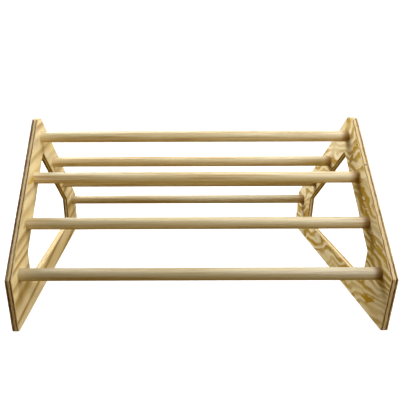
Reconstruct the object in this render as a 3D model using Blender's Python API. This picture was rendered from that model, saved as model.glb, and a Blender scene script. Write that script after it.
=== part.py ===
"""A-frame climbing rack: two plywood end panels joined by seven round wooden rungs.

X runs along the rungs, Y from front (-Y) to back (+Y), Z up. The origin lies on the
floor, midway between the panels. Metres. Each panel is a house-shaped ring: a flat foot,
two short upright sides, two 45 degree slopes and a small flat top, with a window of the
same shape. The rungs stand parallel to the slopes, one at the peak and three down each
side. Their ends sit in blind sockets, and a countersunk wood screw through each panel
holds each rung end.
"""

import math

import bmesh
import bpy
from mathutils import Matrix, Vector

# Overall frame
INNER_WIDTH = 0.960          # clear span between the two panels
PANEL_THICKNESS = 0.018
PANEL_DEPTH = 0.742          # front to back, along the floor
SIDE_HEIGHT = 0.154          # upright part of the front and back sides
TOP_FLAT = 0.030             # flat at the peak; the slopes between are at 45 degrees

# Window in each panel
WINDOW_WIDTH = 0.470
WINDOW_SILL = 0.071          # height of the bottom rail
STRIP_WIDTH = 0.0855         # width of the sloped strips, square to the slope

# Edges
CORNER_RADIUS = 0.005        # outline corners, seen from the side
CORNER_STEPS = 4
EDGE_ROUND = 0.0015          # rounding of the panel's rims
EDGE_STEPS = 2

# Rungs
RUNG_DIAMETER = 0.034
RUNG_STEP = 0.1045           # from rung to rung, both along Y and along Z
TOP_RUNG_HEIGHT = 0.454
RUNGS_PER_SIDE = 3
RUNG_CHAMFER = 0.0015
RUNG_SIDES = 24
SOCKET_DEPTH = 0.009
GAP = 0.0003                 # clearance between touching pieces

# Wood screws
SCREW_LENGTH = 0.045
SCREW_SHANK = 0.0042
SCREW_HEAD = 0.0084
SCREW_HEAD_HEIGHT = 0.0027
SCREW_HEAD_RIM = 0.0004
SCREW_TIP = 0.006
SCREW_SIDES = 16
RECESS_SPAN = 0.0046         # cross recess, tip to tip
RECESS_SLOT = 0.0010
RECESS_DEPTH = 0.0018
RECESS_TAPER = 0.45

OVERCUT = 0.002              # how far a cutter reaches past the face that it opens

PANEL_HEIGHT = SIDE_HEIGHT + (PANEL_DEPTH - TOP_FLAT) / 2
WINDOW_PEAK = PANEL_HEIGHT + TOP_FLAT / 2 - STRIP_WIDTH * math.sqrt(2)
LEVELS = ("upper", "middle", "lower")


def clear_scene():
    for item in list(bpy.data.objects):
        bpy.data.objects.remove(item, do_unlink=True)


def wood_or_metal(name, color, roughness, metallic=0.0):
    material = bpy.data.materials.new(name)
    material.use_nodes = True
    shader = material.node_tree.nodes["Principled BSDF"]
    shader.inputs["Base Color"].default_value = (*color, 1.0)
    shader.inputs["Roughness"].default_value = roughness
    shader.inputs["Metallic"].default_value = metallic
    return material


def add_object(name, bm, material=None):
    """Turn a bmesh into a scene object with outward faces and smooth round walls."""
    bmesh.ops.recalc_face_normals(bm, faces=bm.faces)
    mesh = bpy.data.meshes.new(name)
    bm.to_mesh(mesh)
    bm.free()
    mesh.shade_smooth()
    mesh.set_sharp_from_angle(angle=math.radians(35))
    if material:
        mesh.materials.append(material)
    item = bpy.data.objects.new(name, mesh)
    bpy.context.collection.objects.link(item)
    return item


def hide_cutter(item):
    item.hide_render = True
    item.display_type = "WIRE"


def subtract(item, cutter):
    cut = item.modifiers.new("cut_" + cutter.name, "BOOLEAN")
    cut.operation = "DIFFERENCE"
    cut.solver = "EXACT"
    cut.object = cutter


def house_outline(width, foot, peak, flat):
    """Corners (y, z) of the house shape, clockwise from the front foot."""
    half = width / 2
    eaves = peak - half + flat / 2
    corners = [(-half, foot), (-half, eaves)]
    corners += [(-flat / 2, peak), (flat / 2, peak)] if flat else [(0.0, peak)]
    return corners + [(half, eaves), (half, foot)]


def rounded(corners, radius, grow=0.0):
    """Polygon with an arc at each corner, then moved outwards by grow all round."""
    points = []
    count = len(corners)
    for index, (y, z) in enumerate(corners):
        before = corners[index - 1]
        after = corners[(index + 1) % count]
        angle_in = math.atan2(before[1] - z, before[0] - y)
        angle_out = math.atan2(after[1] - z, after[0] - y)
        turn = (angle_out - angle_in + math.pi) % (2 * math.pi) - math.pi
        middle = angle_in + turn / 2
        reach = radius / math.sin(abs(turn) / 2)
        center = (y + reach * math.cos(middle), z + reach * math.sin(middle))
        sweep = math.copysign(math.pi - abs(turn), -turn)
        first = middle + math.pi - sweep / 2
        for step in range(CORNER_STEPS + 1):
            angle = first + sweep * step / CORNER_STEPS
            points.append((center[0] + (radius + grow) * math.cos(angle),
                           center[1] + (radius + grow) * math.sin(angle)))
    return points


def rim_profile(low, high):
    """Stations (x, inset) across a panel's edge, with both rims rounded."""
    quarter = []
    for step in range(EDGE_STEPS + 1):
        angle = math.pi / 2 * step / EDGE_STEPS
        quarter.append((EDGE_ROUND * (1 - math.sin(angle)), EDGE_ROUND * (1 - math.cos(angle))))
    near = [(low + depth, inset) for depth, inset in reversed(quarter)]
    far = [(high - depth, inset) for depth, inset in quarter]
    return near + far


def add_wall(bm, corners, stations):
    """Rings of one edge wall, joined by quads; returns the edges of its two end rings."""
    rings = [[bm.verts.new((x, y, z)) for y, z in rounded(corners, CORNER_RADIUS, grow)]
             for x, grow in stations]
    for near, far in zip(rings, rings[1:]):
        for index in range(len(near)):
            after = (index + 1) % len(near)
            bm.faces.new((near[index], far[index], far[after], near[after]))
    return [[bm.edges.get((ring[index - 1], ring[index])) for index in range(len(ring))]
            for ring in (rings[0], rings[-1])]


def extruded(outline, x_low, x_high):
    """A solid with the outline (y, z) as its cross-section along X."""
    bm = bmesh.new()
    low = [bm.verts.new((x_low, y, z)) for y, z in outline]
    high = [bm.verts.new((x_high, y, z)) for y, z in outline]
    bm.faces.new(low)
    bm.faces.new(list(reversed(high)))
    for index in range(len(outline)):
        after = (index + 1) % len(outline)
        bm.faces.new((low[index], high[index], high[after], low[after]))
    return bm


def add_turned(bm, profile, sides, y=0.0, z=0.0):
    """Turn a profile of (x, radius), which starts and ends on the axis, about a line along X."""
    rings = []
    for x, radius in profile:
        if radius == 0.0:
            rings.append([bm.verts.new((x, y, z))])
            continue
        angles = [2 * math.pi * side / sides for side in range(sides)]
        rings.append([bm.verts.new((x, y + radius * math.cos(angle), z + radius * math.sin(angle)))
                      for angle in angles])
    for near, far in zip(rings, rings[1:]):
        for side in range(sides):
            after = (side + 1) % sides
            corners = [near[side % len(near)], near[after % len(near)],
                       far[after % len(far)], far[side % len(far)]]
            bm.faces.new(list(dict.fromkeys(corners)))


def rung_positions():
    """Name and axis (y, z) of each rung."""
    positions = {"top": (0.0, TOP_RUNG_HEIGHT)}
    for side, sign in (("front", -1), ("back", 1)):
        for step in range(1, RUNGS_PER_SIDE + 1):
            name = f"{side}_{LEVELS[step - 1]}"
            positions[name] = (sign * step * RUNG_STEP, TOP_RUNG_HEIGHT - step * RUNG_STEP)
    return positions


def joint_cutter(name, inner_face, outward):
    """Sockets, screw holes and countersinks of all rungs, for one panel."""
    outer_face = PANEL_THICKNESS
    bore = SCREW_SHANK / 2 + GAP
    countersink = SCREW_HEAD / 2 + GAP
    depths = [
        (-OVERCUT, 0.0),
        (-OVERCUT, RUNG_DIAMETER / 2 + GAP),
        (SOCKET_DEPTH, RUNG_DIAMETER / 2 + GAP),
        (SOCKET_DEPTH, bore),
        (outer_face - GAP - SCREW_HEAD_HEIGHT, bore),
        (outer_face - GAP - SCREW_HEAD_RIM, countersink),
        (outer_face + OVERCUT, countersink),
        (outer_face + OVERCUT, 0.0),
    ]
    profile = [(inner_face + outward * depth, radius) for depth, radius in depths]
    bm = bmesh.new()
    for y, z in rung_positions().values():
        add_turned(bm, profile, RUNG_SIDES, y, z)
    cutter = add_object(name, bm)
    hide_cutter(cutter)
    return cutter


def make_panel(name, outward, material):
    """House-shaped ring with rounded rims, cut for the joints of all rungs."""
    inner_face = outward * INNER_WIDTH / 2
    outer_face = inner_face + outward * PANEL_THICKNESS
    stations = rim_profile(*sorted((inner_face, outer_face)))
    bm = bmesh.new()
    outline = house_outline(PANEL_DEPTH, 0.0, PANEL_HEIGHT, TOP_FLAT)
    window = house_outline(WINDOW_WIDTH, WINDOW_SILL, WINDOW_PEAK, 0.0)
    outer_rings = add_wall(bm, outline, [(x, -inset) for x, inset in stations])
    window_rings = add_wall(bm, window, stations)
    for outer_ring, window_ring in zip(outer_rings, window_rings):
        bmesh.ops.triangle_fill(bm, edges=outer_ring + window_ring, use_beauty=True)
    panel = add_object(name, bm, material)
    subtract(panel, joint_cutter(name + "_joints", inner_face, outward))


def make_rung(name, y, z, material):
    """A dowel with chamfered ends and a pilot bore in each end."""
    end = INNER_WIDTH / 2 + SOCKET_DEPTH - GAP
    pilot_end = INNER_WIDTH / 2 + PANEL_THICKNESS - SCREW_LENGTH - 2 * GAP
    pilot = SCREW_SHANK / 2 + GAP
    radius = RUNG_DIAMETER / 2
    half = [(pilot_end, 0.0), (pilot_end, pilot), (end, pilot), (end, radius - RUNG_CHAMFER),
            (end - RUNG_CHAMFER, radius)]
    profile = [(-x, r) for x, r in half] + list(reversed(half))
    bm = bmesh.new()
    add_turned(bm, profile, RUNG_SIDES)
    rung = add_object(name, bm, material)
    rung.location = (0.0, y, z)
    return rung


def cross_recess():
    """Cutter for the drive: a cross that narrows towards its bottom, open at x = 0."""
    arm = RECESS_SPAN / 2
    slot = RECESS_SLOT / 2
    cross = [(arm, slot), (slot, slot), (slot, arm)]
    outline = []
    for quarter in range(4):
        turn = Matrix.Rotation(quarter * math.pi / 2, 2)
        outline += [tuple(turn @ Vector(corner)) for corner in cross]
    bm = extruded(outline, -RECESS_DEPTH, OVERCUT)
    for vert in bm.verts:
        if vert.co.x < 0:
            vert.co.y *= RECESS_TAPER
            vert.co.z *= RECESS_TAPER
    cutter = add_object("drive_recess", bm)
    hide_cutter(cutter)
    return cutter


def screw_mesh(material):
    """Countersunk wood screw along X, with the top of its head at x = 0 and its tip at -X."""
    head = SCREW_HEAD / 2
    shank = SCREW_SHANK / 2
    profile = [
        (0.0, 0.0),
        (0.0, head),
        (-SCREW_HEAD_RIM, head),
        (-SCREW_HEAD_HEIGHT, shank),
        (-SCREW_LENGTH + SCREW_TIP + GAP, shank),
        (-SCREW_LENGTH + GAP, 0.0),
    ]
    bm = bmesh.new()
    add_turned(bm, profile, SCREW_SIDES)
    blank = add_object("screw_blank", bm, material)
    recess = cross_recess()
    subtract(blank, recess)
    view = bpy.context.evaluated_depsgraph_get()
    mesh = bpy.data.meshes.new_from_object(blank.evaluated_get(view))
    mesh.name = "wood_screw"
    bpy.data.objects.remove(blank, do_unlink=True)
    bpy.data.objects.remove(recess, do_unlink=True)
    return mesh


def place_screw(name, mesh, outward, y, z):
    item = bpy.data.objects.new(name, mesh)
    bpy.context.collection.objects.link(item)
    item.location = (outward * (INNER_WIDTH / 2 + PANEL_THICKNESS - GAP), y, z)
    if outward < 0:
        item.rotation_euler = (0.0, 0.0, math.pi)
    return item


def main():
    clear_scene()
    plywood = wood_or_metal("plywood", (0.66, 0.47, 0.23), 0.60)
    dowel_wood = wood_or_metal("dowel_wood", (0.70, 0.54, 0.33), 0.55)
    screw_steel = wood_or_metal("screw_steel", (0.62, 0.62, 0.60), 0.35, 1.0)
    sides = (("left", -1), ("right", 1))
    for side, outward in sides:
        make_panel(side + "_panel", outward, plywood)
    screw = screw_mesh(screw_steel)
    for name, (y, z) in rung_positions().items():
        make_rung("rung_" + name, y, z, dowel_wood)
        for side, outward in sides:
            place_screw(f"screw_{side}_{name}", screw, outward, y, z)


main()
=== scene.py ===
"""Looks for the A-frame rung climber: plywood end panels, dowel rungs and wood screws.

X runs along the rungs, Y from front to back, Z up, in metres. The panels, rungs and screws
are finer meshes that stand for the CAD nodes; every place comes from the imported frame.
"""

import math

import bmesh
import bpy
from mathutils import Matrix, Vector, noise


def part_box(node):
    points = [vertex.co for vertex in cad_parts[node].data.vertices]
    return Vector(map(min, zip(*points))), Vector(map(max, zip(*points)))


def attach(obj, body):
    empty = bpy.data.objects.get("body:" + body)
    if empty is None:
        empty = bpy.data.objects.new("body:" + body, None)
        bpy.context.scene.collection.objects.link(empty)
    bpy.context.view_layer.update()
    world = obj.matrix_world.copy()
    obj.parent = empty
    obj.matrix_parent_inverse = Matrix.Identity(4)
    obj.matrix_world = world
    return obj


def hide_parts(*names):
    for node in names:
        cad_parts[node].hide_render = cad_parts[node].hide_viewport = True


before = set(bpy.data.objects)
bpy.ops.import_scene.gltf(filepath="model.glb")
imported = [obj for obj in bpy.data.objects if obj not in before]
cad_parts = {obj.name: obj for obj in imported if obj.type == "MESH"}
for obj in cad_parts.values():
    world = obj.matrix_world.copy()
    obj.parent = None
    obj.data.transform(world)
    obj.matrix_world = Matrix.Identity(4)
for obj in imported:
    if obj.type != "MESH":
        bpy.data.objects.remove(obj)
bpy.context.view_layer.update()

# Panel outline; the rest of it follows from the CAD boxes
PANEL_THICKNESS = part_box("left_panel")[1][0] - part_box("left_panel")[0][0]
MID_PANEL = abs(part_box("right_panel")[0][0]) + PANEL_THICKNESS / 2
TOP_FLAT = 0.030
WINDOW_WIDTH = 0.470
WINDOW_SILL = 0.071
STRIP_WIDTH = 0.0855         # across the sloping strips, between the edge and the window
CORNER_RADIUS = 0.005
CORNER_STEPS = 8
EDGE_PITCH = 0.002           # spacing of points along the straight edges
RIM_ROUND = 0.0015
RIM_STEPS = 5
GUARD = 0.0010               # flat border that keeps the shading of the faces even

# Relief of the cut edges
GLUE_HALF = 0.00022
GLUE_GROOVE = 0.00018
CROSSBAND_RECESS = 0.00012
SAW_RELIEF = 0.00010

# Joints
SOCKET_DEPTH = 0.009
SOCKET_GAP = 0.0003
SOCKET_CHAMFER = 0.0004
SOCKET_SIDES = 64
BORE_RADIUS = 0.0024
SINK_RADIUS = 0.0045
SINK_DEPTH = 0.0030
SINK_SIDES = 40

# Rungs
RUNG_SIDES = 64
RUNG_SEGMENTS = 48
RUNG_CHAMFER = 0.0015
PILOT_DEPTH = 0.0365
# Painted shade: the rung ends are painted red-brown from here to the right panel, for the shade it casts
# on them
END_SHADE_BEGIN = 0.452          # along X, near the right panel
END_SHADE_END = 0.476
# Painted shade: the rungs are painted darker the lower they sit, between these two heights
FULL_SHADE_HEIGHT = 0.14           # lower rungs are a shade darker than the ones above NO_SHADE_HEIGHT
NO_SHADE_HEIGHT = 0.34
DEEPEST_PAINTED_SHADE = 0.72

# Screws
HEAD_DEPTH = 0.0029
CORE_RADIUS = 0.0015
CREST_RADIUS = 0.0021
THREAD_PITCH = 0.0020
ROWS_PER_TURN = 6
SCREW_SIDES = 24
TIP_LENGTH = 0.005
RECESS_ARM = 0.0024
RECESS_HALF = 0.0005
RECESS_DEPTH = 0.0018

# Studio: name, place, size and power of each lamp; all of them aim at AIM
AIM = Vector((0.0, 0.0, 0.2))
LAMPS = (
    ("key_right", (3.0, 0.0, 1.6), 1.2, 46.0),
    ("front_right", (1.4, -1.4, 1.6), 1.0, 23.5),
    ("rim_left", (-1.4, 1.0, 1.6), 1.0, 50.0),
    ("overhead", (0.0, 0.0, 2.2), 1.5, 12.5),
    ("peak_right", (0.75, 0.1, 1.2), 0.5, 2.6),
)
GROUND_GLOW = (0.25, 0.150, 0.004, 1.0)
SKY_GLOW = (0.04, 0.04, 0.04, 1.0)
BACK_GLOW = (1.85, 1.85, 1.85, 1.0)
DOME_RADIUS = 20.0
SHADOW_REACH = 0.6
SHADOW_GONE = 2.0
SHADOW_GLOW = 0.86

LEVELS = ("upper", "middle", "lower")
RUNG_NAMES = ["top"] + [f"{side}_{level}" for side in ("front", "back") for level in LEVELS]


# ---------------------------------------------------------------- materials

def linear(red, green, blue):
    """A display colour, 0 to 255, as a linear RGBA colour."""
    def channel(value):
        value /= 255
        return value / 12.92 if value <= 0.04045 else ((value + 0.055) / 1.055) ** 2.4
    return (channel(red), channel(green), channel(blue), 1.0)


# Growth-ring figure of each panel's veneer. Level lines of a smooth field over (y, z) are the
# rings: lean is the field's slope along Y, hills are (y, z, reach, height), and bands are the
# places of latewood along the field as (place, half width, depth); without bands, rings are
# spaced evenly, rings per metre. Faintest is the weakest that a ring fades to. Islands are spots
# (y, z, half length, half width, tilt, depth) and resin is one spot on the inner face.
LEFT_FIGURE = {
    "lean": -0.09,
    "hills": (),
    "faintest": 0.85,
    "warp": 0.018, "warp_scale": (60.0, 3.0, 11.0), "waver": 0.0036,
    "bands": ((-0.012, 0.020, 1.0), (0.055, 0.010, 1.0), (0.107, 0.024, 1.0), (0.150, 0.012, 0.7),
              (0.195, 0.010, 1.0), (0.219, 0.010, 0.8), (0.245, 0.015, 1.0), (0.290, 0.020, 0.5),
              (0.335, 0.010, 0.6), (0.365, 0.020, 0.4), (0.415, 0.012, 0.6), (0.450, 0.019, 0.4),
              (0.485, 0.012, 0.8)),
    "islands": ((-0.225, 0.250, 0.022, 0.007, 12, 0.55), (0.235, 0.011, 0.042, 0.005, 5, 0.9)),
    "resin": (-0.137, 0.351, 0.026, 0.008),
    "pale": linear(244, 226, 180), "warm": linear(232, 208, 144), "amber": linear(158, 116, 4),
}
RIGHT_FIGURE = {
    "lean": 0.36,
    "hills": ((-0.40, 0.30, 0.20, 0.22), (0.05, 0.46, 0.09, 0.06)),
    "faintest": 0.40,
    "warp": 0.140, "warp_scale": (60.0, 9.0, 12.0), "waver": 0.0220,
    "rings": 31.0,
    "islands": ((-0.069, 0.429, 0.015, 0.008, -45, 1.0), (-0.054, 0.395, 0.030, 0.007, -75, 1.0),
                (-0.120, 0.352, 0.024, 0.009, 55, 0.9), (-0.150, 0.312, 0.030, 0.013, 70, 1.0),
                (-0.196, 0.272, 0.040, 0.014, 62, 1.0), (-0.292, 0.200, 0.036, 0.008, 25, 0.9),
                (-0.252, 0.205, 0.030, 0.009, 75, 0.9), (-0.272, 0.036, 0.026, 0.011, -20, 1.0),
                (0.085, 0.390, 0.035, 0.010, -70, 0.4)),
    "pale": linear(240, 228, 192), "warm": linear(226, 208, 154), "amber": linear(176, 138, 8),
}

# Cut edge of each panel: glue lines as distances from the inner face, and how dark the
# crossbands are where the edge faces down, sideways, up a slope and straight up; their fading
# where the edge faces up is painted top light. The gap is an open joint in the core ply: (y, z)
# on the front slope and half width
LEFT_EDGE = {
    "glue": (0.0024, 0.0054, 0.0112, 0.0168), "level": (0.85, 1.0, 0.95, 0.20), "seed": 5.0,
}
RIGHT_EDGE = {
    "glue": (0.0010, 0.0038, 0.0106, 0.0148), "level": (1.0, 1.0, 0.92, 0.75), "seed": 11.0,
    "gap": (-0.132, 0.393, 0.0013),
}
GAP_DEPTH = 0.0012


class Graph:
    """Adds and links the shader nodes of one material."""

    def __init__(self, name, roughness, metallic=0.0):
        self.material = bpy.data.materials.new(name)
        self.material.use_nodes = True
        self.tree = self.material.node_tree
        self.shader = self.tree.nodes["Principled BSDF"]
        self.shader.inputs["Roughness"].default_value = roughness
        self.shader.inputs["Metallic"].default_value = metallic

    def put(self, socket, value):
        if isinstance(value, bpy.types.NodeSocket):
            self.tree.links.new(value, socket)
        else:
            socket.default_value = value

    def add(self, kind, inputs, **settings):
        item = self.tree.nodes.new("ShaderNode" + kind)
        for key, value in settings.items():
            setattr(item, key, value)
        for key, value in inputs.items():
            self.put(item.inputs[key], value)
        return item

    def position(self):
        return self.add("TexCoord", {}).outputs["Object"]

    def axes(self, vector):
        split = self.add("SeparateXYZ", {"Vector": vector})
        return split.outputs["X"], split.outputs["Y"], split.outputs["Z"]

    def math(self, operation, first, second=0.0, third=0.0):
        inputs = {0: first, 1: second, 2: third}
        return self.add("Math", inputs, operation=operation).outputs[0]

    def scaled(self, vector, scale, offset=(0.0, 0.0, 0.0)):
        inputs = {"Vector": vector, "Scale": scale, "Location": offset}
        return self.add("Mapping", inputs).outputs["Vector"]

    def noise(self, vector, detail=2.0, roughness=0.5, distortion=0.0):
        inputs = {"Vector": vector, "Scale": 1.0, "Detail": detail, "Roughness": roughness,
                  "Distortion": distortion}
        return self.add("TexNoise", inputs).outputs["Fac"]

    def remap(self, value, low, high, to_low=0.0, to_high=1.0, smooth=False):
        inputs = {"Value": value, "From Min": low, "From Max": high, "To Min": to_low,
                  "To Max": to_high}
        kind = "SMOOTHSTEP" if smooth else "LINEAR"
        return self.add("MapRange", inputs, interpolation_type=kind).outputs["Result"]

    def ramp(self, factor, stops):
        item = self.add("ValToRGB", {"Fac": factor})
        elements = item.color_ramp.elements
        while len(elements) < len(stops):
            elements.new(0.5)
        for element, (place, color) in zip(elements, stops):
            element.position = place
            element.color = color
        return item.outputs["Color"]

    def curve(self, factor, stops):
        """Piecewise linear value of a factor, as a grey ramp."""
        return self.ramp(factor, [(place, (value, value, value, 1.0)) for place, value in stops])

    def mix(self, factor, first, second, blend="MIX"):
        item = self.add("Mix", {}, data_type="RGBA", blend_type=blend)
        self.put(item.inputs[0], factor)
        self.put(item.inputs[6], first)
        self.put(item.inputs[7], second)
        return item.outputs[2]

    def toned(self, color, value, low, high):
        """The colour, darkened or lightened by a noise value between low and high."""
        tone = self.remap(value, 0.25, 0.75, low, high)
        grey = self.add("CombineColor", {0: tone, 1: tone, 2: tone}).outputs[0]
        return self.mix(1.0, color, grey, "MULTIPLY")

    def spot(self, flat, ragged, y, z, half_long, half_short, tilt):
        """One inside an ellipse with ragged borders, nought outside."""
        turned = self.add("Mapping", {"Vector": flat, "Location": (0.0, y, z),
                                      "Rotation": (math.radians(tilt), 0.0, 0.0),
                                      "Scale": (1.0, half_long, half_short)}, vector_type="TEXTURE")
        reach = self.add("VectorMath", {0: turned.outputs[0]}, operation="LENGTH").outputs["Value"]
        return self.remap(self.math("ADD", reach, ragged), 0.75, 1.15, 1.0, 0.0, smooth=True)

    def finish(self, color, roughness=None, height=None, strength=0.3, depth=0.001):
        self.put(self.shader.inputs["Base Color"], color)
        if roughness is not None:
            self.put(self.shader.inputs["Roughness"], roughness)
        if height is not None:
            bump = self.add("Bump", {"Height": height, "Strength": strength, "Distance": depth})
            self.put(self.shader.inputs["Normal"], bump.outputs["Normal"])
        return self.material


def ring_field(g, place, y, z, figure):
    """Field whose level lines are the growth rings; X only tells the two faces apart."""
    flat = g.add("CombineXYZ", {"X": 0.0, "Y": y, "Z": z}).outputs[0]
    field = g.math("MULTIPLY_ADD", y, figure["lean"], z)
    for hill_y, hill_z, reach, height in figure["hills"]:
        away = g.add("VectorMath", {0: flat, 1: (0.0, hill_y, hill_z)}, operation="DISTANCE")
        bell = g.math("EXPONENT", g.math("MULTIPLY", g.math("POWER", away.outputs["Value"], 2.0),
                                         -1 / reach ** 2))
        field = g.math("MULTIPLY_ADD", bell, height, field)
    warp = g.noise(g.scaled(place, figure["warp_scale"]), detail=1.5, roughness=0.45)
    waver = g.noise(g.scaled(place, (60.0, 14.0, 50.0)), detail=3.0)
    field = g.math("MULTIPLY_ADD", g.math("SUBTRACT", warp, 0.5), figure["warp"], field)
    field = g.math("MULTIPLY_ADD", g.math("SUBTRACT", waver, 0.5), figure["waver"], field)
    return flat, field


def latewood(g, field, figure):
    """How much dark latewood there is at each place of the field."""
    if "bands" in figure:
        low = figure["bands"][0][0] - 0.05
        high = figure["bands"][-1][0] + 0.05
        stops = []
        for center, half, depth in figure["bands"]:
            stops += [(center - half, 0.0), (center + 0.3 * half, depth), (center + half, 0.0)]
        share = g.remap(field, low, high)
        # A ramp holds 32 colours, so the bands are shared out over two of them
        halves = stops[:len(stops) // 6 * 3], stops[len(stops) // 6 * 3:]
        parts = [g.curve(share, [((place - low) / (high - low), value) for place, value in half])
                 for half in halves]
        return g.math("MAXIMUM", parts[0], parts[1])
    ring = g.math("FRACT", g.math("MULTIPLY", field, figure["rings"]))
    return g.curve(ring, [(0.0, 0.0), (0.28, 0.0), (0.48, 0.85), (0.80, 1.0), (0.92, 0.45), (1.0, 0.0)])


def veneer_material(name, figure):
    """Rotary-cut softwood face veneer: growth-ring figure, fibre, and islands of latewood."""
    g = Graph(name, 0.5)
    place = g.position()
    x, y, z = g.axes(place)
    flat, field = ring_field(g, place, y, z, figure)
    late = latewood(g, field, figure)
    patch = g.noise(g.scaled(place, (60.0, 4.0, 15.0), (4.0, 1.0, 7.0)), detail=2.0)
    late = g.math("MULTIPLY", late, g.remap(patch, 0.38, 0.54, figure["faintest"], 1.0, smooth=True))
    coarse = g.noise(g.scaled(place, (60.0, 34.0, 52.0)), detail=2.0)
    tooth = g.noise(g.scaled(place, (60.0, 110.0, 220.0), (1.0, 2.0, 3.0)), detail=3.0)
    ragged = g.math("MULTIPLY_ADD", tooth, 1.6, g.math("MULTIPLY_ADD", coarse, 4.2, -2.9))
    for center_y, center_z, half_long, half_short, tilt, depth in figure["islands"]:
        island = g.spot(flat, ragged, center_y, center_z, half_long, half_short, tilt)
        late = g.math("MAXIMUM", late, g.math("MULTIPLY", island, depth))
    fibre = g.noise(g.scaled(place, (300.0, 22.0, 800.0)), detail=3.0, roughness=0.6)
    cloud = g.noise(g.scaled(place, (60.0, 5.0, 18.0), (2.0, 9.0, 3.0)), detail=3.0)
    color = g.mix(g.remap(cloud, 0.35, 0.65), figure["pale"], figure["warm"])
    color = g.mix(late, color, figure["amber"])
    color = g.toned(color, fibre, 0.86, 1.08)
    if "resin" in figure:
        center_y, center_z, half_long, half_short = figure["resin"]
        border = g.math("MULTIPLY", ragged, 0.5)
        resin = g.spot(flat, border, center_y, center_z, half_long, half_short, 0)
        inner_only = g.math("LESS_THAN", g.math("ABSOLUTE", x), MID_PANEL)
        resin = g.math("MULTIPLY", resin, inner_only)
        color = g.mix(resin, color, linear(206, 160, 0))
    height = g.math("MULTIPLY_ADD", fibre, 0.5, late)
    return g.finish(color, g.remap(late, 0.0, 1.0, 0.58, 0.46), height, strength=0.25, depth=0.0004)


def edge_material(name, inner_face, outward, edge):
    """Cut plywood edge: pale face and core plies, dark crossbands (paler where the edge faces up, as
    painted top light), glue lines and saw marks.
    """
    g = Graph(name, 0.7)
    place = g.position()
    x, y, z = g.axes(place)
    facing = g.axes(g.add("NewGeometry", {}).outputs["Normal"])[2]
    depth = g.math("MULTIPLY", g.math("SUBTRACT", x, inner_face), outward)
    wander = g.noise(g.scaled(place, (20.0, 45.0, 45.0)), detail=2.0)
    depth = g.math("MULTIPLY_ADD", g.math("SUBTRACT", wander, 0.5), 0.0030, depth)
    share = g.math("DIVIDE", depth, PANEL_THICKNESS)
    soft = 0.018
    stops = [(0.0, 0.0)]
    for index, line in enumerate(edge["glue"]):
        inside = index % 2
        stops += [(line / PANEL_THICKNESS - soft, inside), (line / PANEL_THICKNESS + soft, 1 - inside)]
    cross = g.curve(share, stops + [(1.0, 0.0)])
    # Painted light: the crossbands fade by the way the edge faces, most where it faces up into the top
    # light
    down, side, slope, up = edge["level"]
    level = g.curve(g.remap(facing, -1.0, 1.0), [(0.0, down), (0.15, down), (0.5, side), (0.85, slope),
                                                 (1.0, up)])
    patch = g.noise(g.scaled(place, (150.0, 16.0, 16.0), (edge["seed"], 0.0, 1.0)), detail=3.0,
                    roughness=0.6)
    cross = g.math("MULTIPLY", cross, g.remap(patch, 0.38, 0.54, 0.70, 1.0, smooth=True))
    dashes = g.noise(g.scaled(place, (420.0, 70.0, 70.0), (3.0, edge["seed"], 0.0)), detail=2.0)
    cross = g.math("MULTIPLY", cross, g.remap(dashes, 0.38, 0.50, 0.72, 1.0, smooth=True))
    cross = g.math("MULTIPLY", cross, level)
    streak = g.noise(g.scaled(place, (900.0, 60.0, 60.0)), detail=4.0, roughness=0.65)
    chatter = g.noise(g.scaled(place, (160.0, 420.0, 420.0)), detail=3.0, roughness=0.6)
    pale = g.mix(g.remap(streak, 0.34, 0.66), linear(206, 172, 104), linear(246, 228, 176))
    dark = g.mix(g.remap(streak, 0.3, 0.7), linear(66, 8, 2), linear(112, 38, 6))
    color = g.toned(g.mix(cross, pale, dark), chatter, 0.84, 1.12)
    if "gap" in edge:
        gap_y, gap_z, half = edge["gap"]
        flat = g.add("CombineXYZ", {"X": 0.0, "Y": y, "Z": z}).outputs[0]
        gap = g.spot(flat, 0.0, gap_y, gap_z, half * 1.3, half * 1.3, 0)
        core = g.curve(share, [(0.10, 0.0), (0.16, 0.9), (0.56, 0.9), (0.62, 0.0)])
        color = g.mix(g.math("MULTIPLY", gap, core), color, linear(60, 40, 20))
    height = g.math("ADD", g.math("MULTIPLY", chatter, 0.8), g.math("MULTIPLY", streak, 0.6))
    return g.finish(color, None, height, strength=0.5, depth=0.0006)


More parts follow.
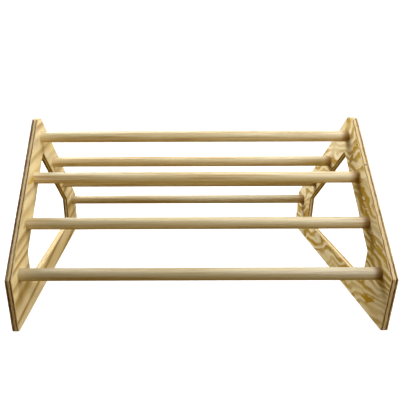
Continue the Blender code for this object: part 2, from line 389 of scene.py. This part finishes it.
def dowel_material():
    """Sanded pale dowel: straight grain along X, a satin coat, and painted shade on right ends and low
    rungs.
    """
    g = Graph("dowel_wood", 0.5)
    g.shader.inputs["Coat Weight"].default_value = 0.9
    g.shader.inputs["Coat Roughness"].default_value = 0.42
    chance = g.add("ObjectInfo", {}).outputs["Random"]
    shift = g.add("CombineXYZ", {"X": g.math("MULTIPLY", chance, 7.0), "Y": chance, "Z": chance})
    place = g.add("VectorMath", {0: g.position(), 1: shift.outputs[0]}, operation="ADD").outputs[0]
    grain = g.noise(g.scaled(place, (3.0, 150.0, 150.0)), detail=3.0, roughness=0.55)
    fine = g.noise(g.scaled(place, (22.0, 900.0, 900.0)), detail=3.0, roughness=0.6)
    cloud = g.noise(g.scaled(place, (2.2, 12.0, 12.0)), detail=2.0)
    color = g.mix(g.remap(cloud, 0.35, 0.65), linear(234, 214, 162), linear(248, 232, 190))
    color = g.mix(g.remap(grain, 0.46, 0.68, 0.0, 0.70, smooth=True), color, linear(198, 156, 84))
    x, _, z = g.axes(g.position())
    # Painted shade: the rung ends turn red-brown towards the right panel, where the panel shades them
    end_shade = g.remap(x, END_SHADE_BEGIN, END_SHADE_END, 0.0, 0.80, smooth=True)
    color = g.mix(end_shade, color, linear(156, 98, 8))
    # Painted shade: the lower a rung sits, the darker it is painted
    tone = g.remap(z, FULL_SHADE_HEIGHT, NO_SHADE_HEIGHT, DEEPEST_PAINTED_SHADE, 1.0)
    grey = g.add("CombineColor", {0: tone, 1: tone, 2: tone}).outputs[0]
    color = g.mix(1.0, color, grey, "MULTIPLY")
    color = g.toned(color, fine, 0.91, 1.05)
    return g.finish(color, g.remap(fine, 0.3, 0.7, 0.44, 0.56), fine, strength=0.12, depth=0.0002)


def zinc_material():
    """Zinc-plated steel with faint blotches."""
    g = Graph("screw_zinc", 0.35, 1.0)
    blotch = g.noise(g.scaled(g.position(), (400.0, 400.0, 400.0)), detail=3.0)
    color = g.mix(g.remap(blotch, 0.3, 0.7), linear(168, 168, 164), linear(206, 205, 198))
    return g.finish(color, g.remap(blotch, 0.3, 0.7, 0.28, 0.44), blotch, strength=0.08, depth=0.0001)


def stage_material(name, glow, shade):
    """Plain white studio surface, partly lit from behind, with a faint grain."""
    g = Graph(name, 0.9)
    g.shader.inputs["Specular IOR Level"].default_value = 0.0
    g.shader.inputs["Emission Color"].default_value = (1.0, 1.0, 1.0, 1.0)
    grit = g.noise(g.scaled(g.position(), (60.0, 60.0, 60.0)), detail=2.0)
    g.finish(g.mix(grit, (shade, shade, shade, 1.0), (shade * 1.03, shade * 1.03, shade * 1.03, 1.0)))
    g.put(g.shader.inputs["Emission Strength"], glow(g) if callable(glow) else glow)
    return g.material


def floor_glow(g):
    """Emission that keeps contact shadows faint under the object and hides them further out."""
    away = g.add("VectorMath", {0: g.position()}, operation="LENGTH").outputs["Value"]
    return g.remap(away, SHADOW_REACH, SHADOW_GONE, SHADOW_GLOW, 1.0, smooth=True)


# ---------------------------------------------------------------- mesh helpers

def new_object(name, bm, materials, angle=35):
    bmesh.ops.recalc_face_normals(bm, faces=bm.faces)
    mesh = bpy.data.meshes.new(name)
    bm.to_mesh(mesh)
    bm.free()
    mesh.shade_smooth()
    mesh.set_sharp_from_angle(angle=math.radians(angle))
    for material in materials:
        mesh.materials.append(material)
    item = bpy.data.objects.new(name, mesh)
    bpy.context.collection.objects.link(item)
    return item


def stand_for(piece, node):
    """Hides a CAD node and attaches the finer piece that replaces it to the root body."""
    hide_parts(node)
    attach(piece, "root")


def middle_of(node):
    low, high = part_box(node)
    return Vector(low).lerp(Vector(high), 0.5)


def join_rings(bm, rings, material_index=0):
    """Quads between neighbouring closed rings of equally many vertices."""
    for near, far in zip(rings, rings[1:]):
        for index in range(len(near)):
            after = (index + 1) % len(near)
            face = bm.faces.new((near[index], near[after], far[after], far[index]))
            face.material_index = material_index


def circle_ring(bm, x, center, radius, sides):
    """Closed ring about a line along X; the radius is a number or a function of the angle."""
    ring = []
    for side in range(sides):
        angle = 2 * math.pi * side / sides
        size = radius(angle) if callable(radius) else radius
        ring.append(bm.verts.new((x, center[0] + size * math.cos(angle),
                                  center[1] + size * math.sin(angle))))
    return ring


def ring_edges(bm, ring):
    return [bm.edges.get((ring[i - 1], ring[i])) or bm.edges.new((ring[i - 1], ring[i]))
            for i in range(len(ring))]


def fill_between(bm, loops, material_index=0):
    """Flat faces inside the first loop and outside the others."""
    edges = [edge for loop in loops for edge in ring_edges(bm, loop)]
    for item in bmesh.ops.triangle_fill(bm, edges=edges, use_beauty=True)["geom"]:
        if isinstance(item, bmesh.types.BMFace):
            item.material_index = material_index


def house_corners(width, foot, peak, flat):
    """Corners (y, z) of the house shape with 45 degree slopes, clockwise from the front foot."""
    half = width / 2
    eaves = peak - half + flat / 2
    top = [(-flat / 2, peak), (flat / 2, peak)] if flat else [(0.0, peak)]
    return [Vector(corner) for corner in
            [(-half, foot), (-half, eaves), *top, (half, eaves), (half, foot)]]


def corner_arc(before, corner, after):
    """Points of one rounded corner, each with its normal away from the enclosed area."""
    to_before = (before - corner).normalized()
    to_after = (after - corner).normalized()
    bisector = (to_before + to_after).normalized()
    half_angle = to_before.angle(to_after) / 2
    center = corner + bisector * (CORNER_RADIUS / math.sin(half_angle))
    sweep = math.pi - 2 * half_angle
    arc = []
    for step in range(CORNER_STEPS + 1):
        turn = sweep / 2 - sweep * step / CORNER_STEPS
        normal = Matrix.Rotation(turn, 2) @ -bisector
        arc.append((center + normal * CORNER_RADIUS, normal))
    return arc


def outline_points(corners):
    """Points along a rounded outline, each with its normal away from the enclosed area."""
    count = len(corners)
    arcs = [corner_arc(corners[index - 1], corner, corners[(index + 1) % count])
            for index, corner in enumerate(corners)]
    points = []
    for index, arc in enumerate(arcs):
        points += arc
        begin, normal = arc[-1]
        end = arcs[(index + 1) % count][0][0]
        steps = max(1, round((end - begin).length / EDGE_PITCH))
        points += [(begin.lerp(end, step / steps), normal) for step in range(1, steps)]
    return points


# ---------------------------------------------------------------- pieces

def edge_stations(glue):
    """Distance from the inner face, and inset, of each ring across a panel's edge."""
    rim = [(0.0, RIM_ROUND + GUARD)]
    for step in range(RIM_STEPS + 1):
        angle = math.pi / 2 * step / RIM_STEPS
        rim.append((RIM_ROUND * (1 - math.cos(angle)), RIM_ROUND * (1 - math.sin(angle))))
    middle = []
    lines = (RIM_ROUND, *glue, PANEL_THICKNESS - RIM_ROUND)
    for before, line in zip(lines, lines[1:]):
        middle.append((before + line) / 2)
        if line in glue:
            middle += [line - GLUE_HALF, line, line + GLUE_HALF]
    far_rim = [(PANEL_THICKNESS - depth, inset) for depth, inset in reversed(rim)]
    return rim + [(depth, 0.0) for depth in middle] + far_rim


def ply_relief(depth, place, edge):
    """How far the cut edge lies below its nominal surface, at a depth from the inner face."""
    first, second, third, fourth = edge["glue"]
    relief = 0.0
    if any(abs(depth - line) < GLUE_HALF / 2 for line in edge["glue"]):
        relief += GLUE_GROOVE
    if first < depth < second or third < depth < fourth:
        relief += CROSSBAND_RECESS
    if "gap" in edge and second < depth < third:
        gap_y, gap_z, half = edge["gap"]
        if (place - Vector((gap_y, gap_z))).length < half:
            relief += GAP_DEPTH
    rough = noise.noise(Vector((depth * 400 + edge["seed"], place[0] * 260, place[1] * 260)))
    return relief + SAW_RELIEF * (1 + rough)


def panel_wall(bm, corners, hole, inner_face, outward, edge):
    """Rings of one edge wall, from the inner face to the outer face; returns the two end rings."""
    away = -1 if hole else 1
    points = outline_points(corners)
    rings = []
    for depth, inset in edge_stations(edge["glue"]):
        on_face = depth < GLUE_HALF or depth > PANEL_THICKNESS - GLUE_HALF
        ring = []
        for place, normal in points:
            sink = inset if on_face else inset + ply_relief(depth, place, edge)
            y, z = place - normal * away * sink
            ring.append(bm.verts.new((inner_face + outward * depth, y, z)))
        rings.append(ring)
    join_rings(bm, rings[:2], 0)
    join_rings(bm, rings[1:-1], 1)
    join_rings(bm, rings[-2:], 0)
    return rings[0], rings[-1]


def cut_joint(bm, center, radius, inner_face, outward):
    """Socket from the inner face, screw bore and countersink; returns the two mouth rings."""
    def stations(rows, sides):
        return [circle_ring(bm, inner_face + outward * depth, center, size, sides)
                for depth, size in rows]
    socket = radius + SOCKET_GAP
    mouth = stations([(0.0, socket + SOCKET_CHAMFER), (SOCKET_CHAMFER, socket), (SOCKET_DEPTH, socket)],
                     SOCKET_SIDES)
    outer = PANEL_THICKNESS
    sink = stations([(outer, SINK_RADIUS + SOCKET_CHAMFER), (outer - SOCKET_CHAMFER, SINK_RADIUS),
                     (outer - SINK_DEPTH, BORE_RADIUS), (SOCKET_DEPTH, BORE_RADIUS)], SINK_SIDES)
    join_rings(bm, mouth, 1)
    join_rings(bm, sink, 1)
    fill_between(bm, [mouth[-1], sink[-1]], 1)
    return mouth[0], sink[0]


def make_panel(side, outward, figure, edge):
    node = side + "_panel"
    low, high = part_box(node)
    inner_face = low[0] if outward > 0 else high[0]
    rung_low, rung_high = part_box("rung_top")
    radius = (rung_high[2] - rung_low[2]) / 2
    window_peak = high[2] + TOP_FLAT / 2 - STRIP_WIDTH * math.sqrt(2)
    outline = house_corners(high[1] - low[1], low[2], high[2], TOP_FLAT)
    window = house_corners(WINDOW_WIDTH, WINDOW_SILL, window_peak, 0.0)
    bm = bmesh.new()
    walls = [panel_wall(bm, outline, False, inner_face, outward, edge),
             panel_wall(bm, window, True, inner_face, outward, edge)]
    for name in RUNG_NAMES:
        walls.append(cut_joint(bm, middle_of("rung_" + name).yz, radius, inner_face, outward))
    for end in (0, 1):
        fill_between(bm, [wall[end] for wall in walls])
    materials = [veneer_material(side + "_veneer", figure),
                 edge_material(side + "_edge", inner_face, outward, edge)]
    stand_for(new_object(node + "_plywood", bm, materials), node)


def make_rung(name, material):
    node = "rung_" + name
    low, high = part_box(node)
    center = middle_of(node).yz
    radius = (high[2] - low[2]) / 2
    rows = [(low[0], BORE_RADIUS), (low[0], radius - RUNG_CHAMFER)]
    span = high[0] - low[0] - 2 * RUNG_CHAMFER
    rows += [(low[0] + RUNG_CHAMFER + span * segment / RUNG_SEGMENTS, radius)
             for segment in range(RUNG_SEGMENTS + 1)]
    rows += [(high[0], radius - RUNG_CHAMFER), (high[0], BORE_RADIUS)]
    bm = bmesh.new()
    rings = [circle_ring(bm, x, center, size, RUNG_SIDES) for x, size in rows]
    join_rings(bm, rings)
    for ring, inward in ((rings[0], 1), (rings[-1], -1)):
        pilot = circle_ring(bm, ring[0].co.x + inward * PILOT_DEPTH, center, BORE_RADIUS, RUNG_SIDES)
        join_rings(bm, [ring, pilot])
        bm.faces.new(pilot)
    stand_for(new_object(node + "_dowel", bm, [material]), node)


def thread_radius(depth, length):
    """Radius of the helical thread at a depth along the shank, as a function of the angle."""
    taper = min(1.0, (length - depth) / TIP_LENGTH)

    def radius(angle):
        phase = (depth / THREAD_PITCH - angle / (2 * math.pi)) % 1.0
        ridge = max(0.0, 1 - 2.5 * abs(phase - 0.5))
        return taper * (CORE_RADIUS + (CREST_RADIUS - CORE_RADIUS) * ridge)
    return radius


def recess_ring(bm, x, center, scale):
    """Cross outline of the driver recess, at one depth."""
    arm, half = RECESS_ARM * scale, RECESS_HALF
    quarter = [(arm, -half), (arm, half), (half, half)]
    ring = []
    for turn in range(4):
        for corner in quarter:
            y, z = Matrix.Rotation(turn * math.pi / 2, 2) @ Vector(corner)
            ring.append(bm.verts.new((x, center[0] + y, center[1] + z)))
    return ring


def make_screw(side, outward, name, material):
    """Countersunk wood screw with a cross recess and a cut thread."""
    node = f"screw_{side}_{name}"
    low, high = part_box(node)
    center = middle_of(node).yz
    head_radius = (high[2] - low[2]) / 2
    length = high[0] - low[0]
    top = high[0] if outward > 0 else low[0]
    rows = [(0.0, head_radius - 0.0002), (0.0003, head_radius), (HEAD_DEPTH, CREST_RADIUS)]
    turns = (length - HEAD_DEPTH) / THREAD_PITCH
    count = round(turns * ROWS_PER_TURN)
    for row in range(1, count):
        depth = HEAD_DEPTH + (length - HEAD_DEPTH) * row / count
        rows.append((depth, thread_radius(depth, length)))
    bm = bmesh.new()
    rings = [circle_ring(bm, top - outward * depth, center, size, SCREW_SIDES) for depth, size in rows]
    join_rings(bm, rings)
    tip = bm.verts.new((top - outward * length, *center))
    for index, vertex in enumerate(rings[-1]):
        bm.faces.new((vertex, rings[-1][index - 1], tip))
    mouth = recess_ring(bm, top, center, 1.0)
    floor = recess_ring(bm, top - outward * RECESS_DEPTH, center, 0.5)
    join_rings(bm, [mouth, floor])
    bm.faces.new(floor)
    fill_between(bm, [rings[0], mouth])
    stand_for(new_object(node + "_cut", bm, [material]), node)


# ---------------------------------------------------------------- studio

def stage_only(item):
    """A stage piece that the camera sees, and that neither lights nor shades the object."""
    item.visible_diffuse = False
    item.visible_glossy = False
    item.visible_transmission = False
    item.visible_shadow = False


def make_floor():
    bm = bmesh.new()
    bmesh.ops.create_circle(bm, cap_ends=True, segments=96, radius=DOME_RADIUS)
    floor = new_object("floor", bm, [stage_material("studio_floor", floor_glow, 0.42)])
    floor.location.z = -0.0005
    stage_only(floor)


def make_dome():
    """White backdrop all round, for the camera only."""
    bm = bmesh.new()
    bmesh.ops.create_uvsphere(bm, u_segments=48, v_segments=24, radius=DOME_RADIUS)
    below = [vertex for vertex in bm.verts if vertex.co.z < -0.01]
    bmesh.ops.delete(bm, geom=below, context="VERTS")
    stage_only(new_object("backdrop", bm, [stage_material("studio_backdrop", 1.0, 0.3)]))


def make_world():
    """Dim dome with a bright band low at the back and a warm glow from the floor."""
    world = bpy.data.worlds.new("studio")
    bpy.context.scene.world = world
    world.use_nodes = True
    tree = world.node_tree
    background = tree.nodes["Background"]
    direction = tree.nodes.new("ShaderNodeSeparateXYZ")
    tree.links.new(tree.nodes.new("ShaderNodeTexCoord").outputs["Generated"], direction.inputs[0])

    def ramp(axis, stops):
        item = tree.nodes.new("ShaderNodeValToRGB")
        half = tree.nodes.new("ShaderNodeMath")
        half.operation = "MULTIPLY_ADD"
        half.inputs[1].default_value = 0.5
        half.inputs[2].default_value = 0.5
        tree.links.new(direction.outputs[axis], half.inputs[0])
        tree.links.new(half.outputs[0], item.inputs["Fac"])
        elements = item.color_ramp.elements
        while len(elements) < len(stops):
            elements.new(0.5)
        for element, (place, color) in zip(elements, stops):
            element.position = place
            element.color = color
        return item.outputs["Color"]

    around = ramp("Z", [(0.49, GROUND_GLOW), (0.51, SKY_GLOW)])
    behind = ramp("Z", [(0.49, GROUND_GLOW), (0.505, BACK_GLOW), (0.61, BACK_GLOW), (0.65, SKY_GLOW)])
    back = ramp("Y", [(0.45, (0.0, 0.0, 0.0, 1.0)), (0.60, (1.0, 1.0, 1.0, 1.0))])
    blend = tree.nodes.new("ShaderNodeMix")
    blend.data_type = "RGBA"
    tree.links.new(back, blend.inputs[0])
    tree.links.new(around, blend.inputs[6])
    tree.links.new(behind, blend.inputs[7])
    tree.links.new(blend.outputs[2], background.inputs["Color"])


def make_lights():
    for name, place, size, power in LAMPS:
        data = bpy.data.lights.new(name, "AREA")
        data.size = size
        data.energy = power
        lamp = bpy.data.objects.new(name, data)
        lamp.location = place
        lamp.rotation_euler = (AIM - Vector(place)).to_track_quat("-Z", "Y").to_euler()
        bpy.context.collection.objects.link(lamp)


def make_camera():
    data = bpy.data.cameras.new("camera")
    data.sensor_width = 36.0
    data.lens = 35.5
    data.shift_x = 0.0843
    data.shift_y = 0.0231
    camera = bpy.data.objects.new("camera", data)
    turn = Matrix.Rotation(math.radians(90 - 20.02), 4, "X") @ Matrix.Rotation(math.radians(-0.19), 4, "Z")
    camera.matrix_world = Matrix.Translation((-0.0884, -1.2435, 0.6639)) @ turn
    bpy.context.collection.objects.link(camera)
    bpy.context.scene.camera = camera
    bpy.context.scene.view_settings.view_transform = "Standard"


def main():
    make_panel("left", -1, LEFT_FIGURE, LEFT_EDGE)
    make_panel("right", 1, RIGHT_FIGURE, RIGHT_EDGE)
    dowel = dowel_material()
    zinc = zinc_material()
    for name in RUNG_NAMES:
        make_rung(name, dowel)
        make_screw("left", -1, name, zinc)
        make_screw("right", 1, name, zinc)
    make_floor()
    make_dome()
    make_world()
    make_lights()
    make_camera()


main()
